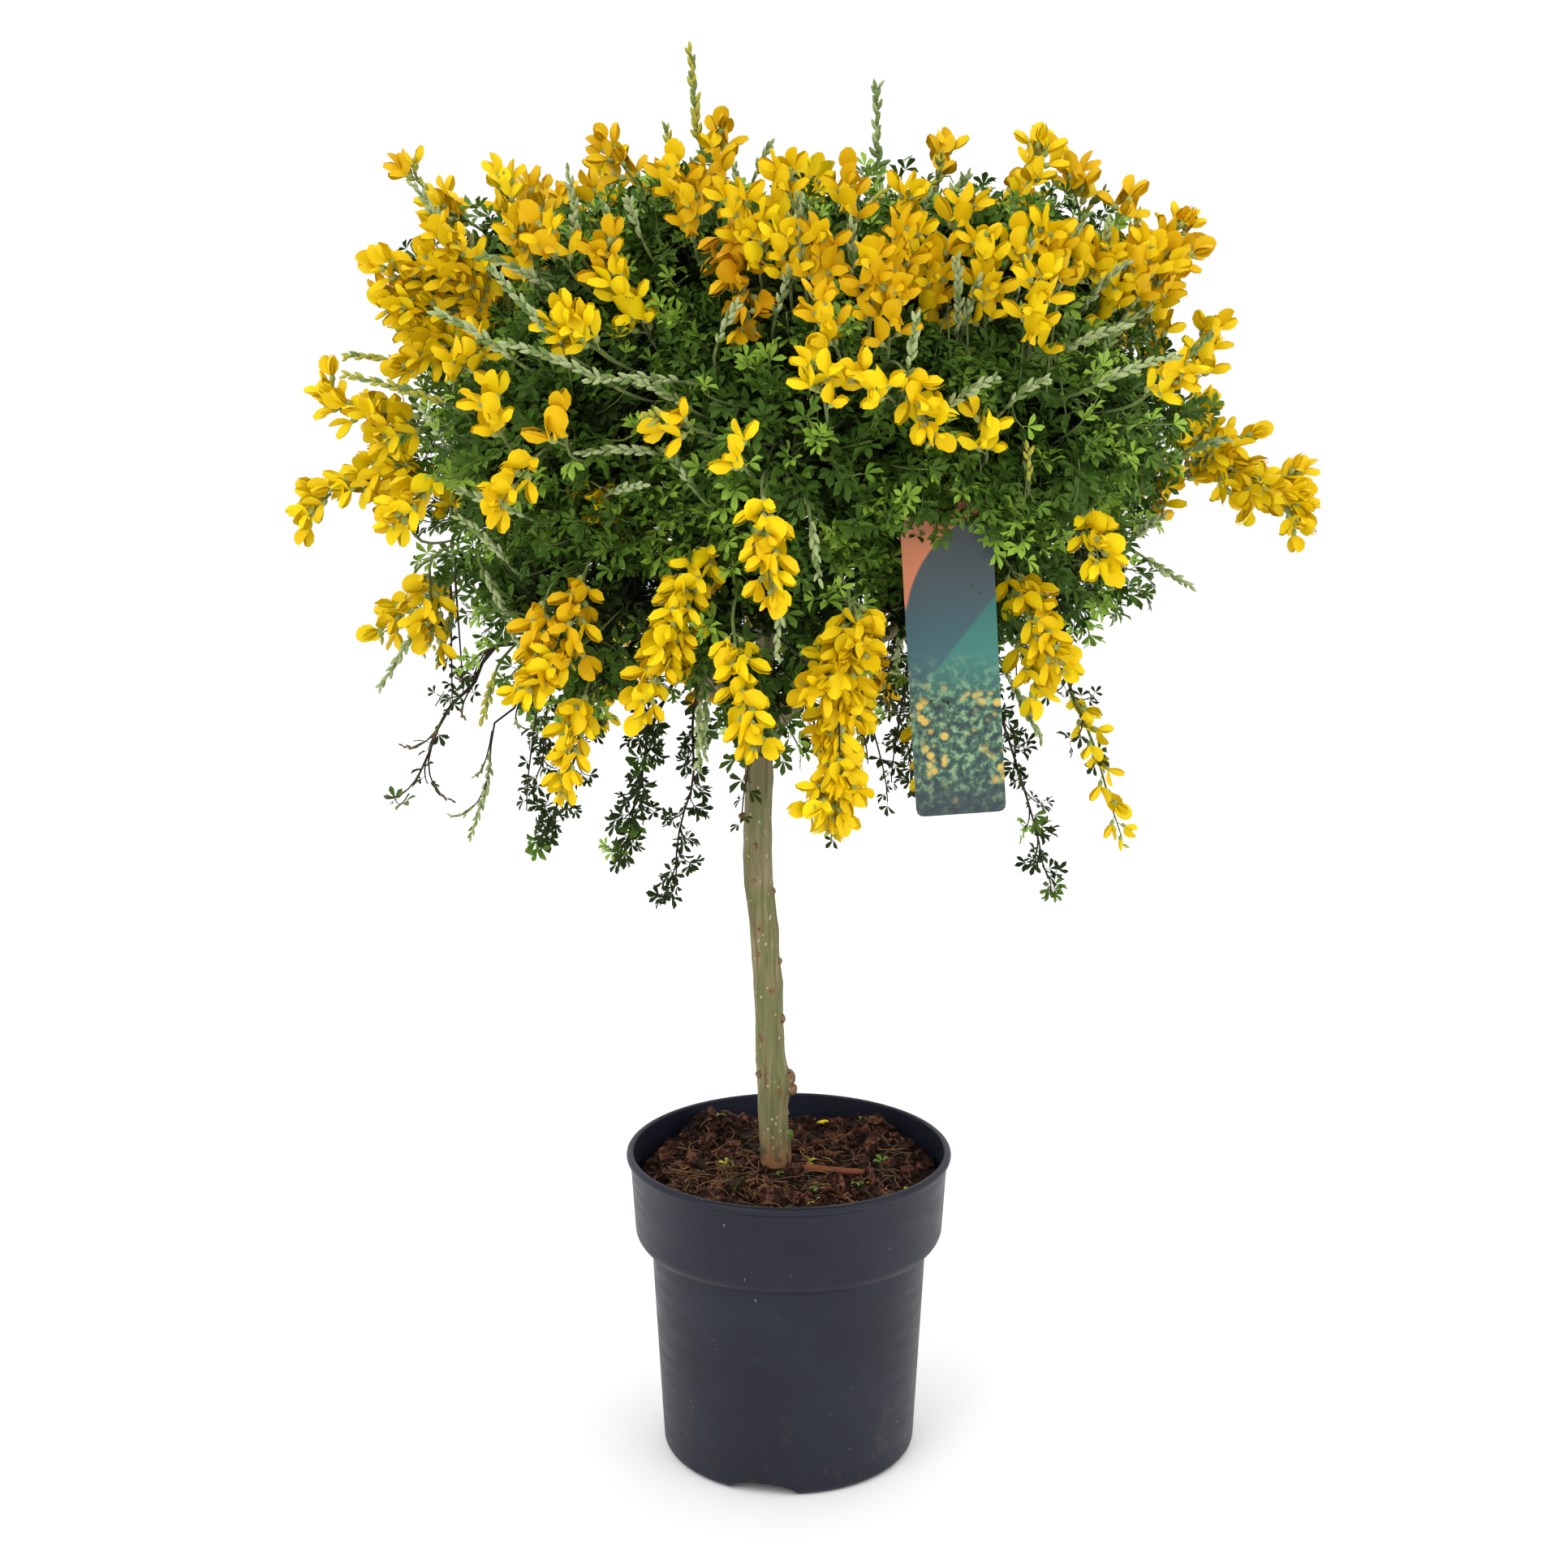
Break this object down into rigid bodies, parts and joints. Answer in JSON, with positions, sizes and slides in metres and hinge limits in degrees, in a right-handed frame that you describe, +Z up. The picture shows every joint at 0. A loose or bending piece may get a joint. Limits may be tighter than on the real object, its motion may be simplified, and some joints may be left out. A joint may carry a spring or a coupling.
{
  "type": "potted broom standard",
  "caption": "Shrub grown as a standard: one bare upright stem with a wide round head of small green leaves and hanging yellow pea flowers, in a collared nursery pot of bark compost.",
  "frame": {"origin": "centre of the pot's flat underside", "axes": "+Z up along the stem, -Y the front where the care label hangs, +X to the right seen from the front"},
  "size_m": [0.5804, 0.4321, 0.7971],
  "materials": {
    "pot_plastic": "moulded polypropylene, satin, dark slate grey",
    "bark_compost": "loose bark chips and fibre, dark red-brown",
    "bark": "olive-green young bark with brown fissures",
    "foliage": "small downy three-part leaves, deep green with fresh tips",
    "blossom": "pea flowers in lemon and golden yellow, silvery buds",
    "label_card": "thin printed plastic card with no lettering"
  },
  "bodies": {
    "root": {"back_bough": "bark", "back_hanging_strand": "blossom", "back_left_bough": "bark", "back_left_strand": "blossom", "back_right_bough": "bark", "back_right_strand": "blossom", "care_label": "label_card", "far_upper_left_spray": "blossom", "far_upper_right_spray": "blossom", "front_bough": "bark", "front_hanging_strand": "blossom", "front_left_bough": "bark", "front_left_strand": "blossom", "front_right_bough": "bark", "heart_tuft": "foliage", "leader_bough": "bark", "left_bare_fan": "blossom", "left_bough": "bark", "left_bud_spray": "blossom", "left_bud_strand": "blossom", "left_leaf_strand": "blossom", "left_lower_arm": "blossom", "left_upper_arm": "blossom", "low_back_left_tuft": "foliage", "low_back_right_tuft": "foliage", "low_back_tuft": "foliage", "low_front_left_tuft": "foliage", "low_front_right_tuft": "foliage", "low_front_tuft": "foliage", "low_left_tuft": "foliage", "low_right_tuft": "foliage", "middle_back_left_tuft": "foliage", "middle_back_right_tuft": "foliage", "middle_back_tuft": "foliage", "middle_front_left_tuft": "foliage", "middle_front_right_tuft": "foliage", "middle_front_tuft": "foliage", "middle_left_tuft": "foliage", "middle_right_tuft": "foliage", "pot": "pot_plastic", "potting_mix": "bark_compost", "right_arm": "blossom", "right_bough": "bark", "right_hanging_strand": "blossom", "right_leaf_strand": "blossom", "right_top_spray": "blossom", "second_spike": "blossom", "top_left_tuft": "foliage", "top_right_tuft": "foliage", "top_spike": "blossom", "trunk": "bark", "upper_back_left_tuft": "foliage", "upper_back_right_tuft": "foliage", "upper_back_tuft": "foliage", "upper_front_left_tuft": "foliage", "upper_front_right_tuft": "foliage", "upper_front_tuft": "foliage", "upper_left_tuft": "foliage", "upper_right_tuft": "foliage"}
  },
  "joints": []
}
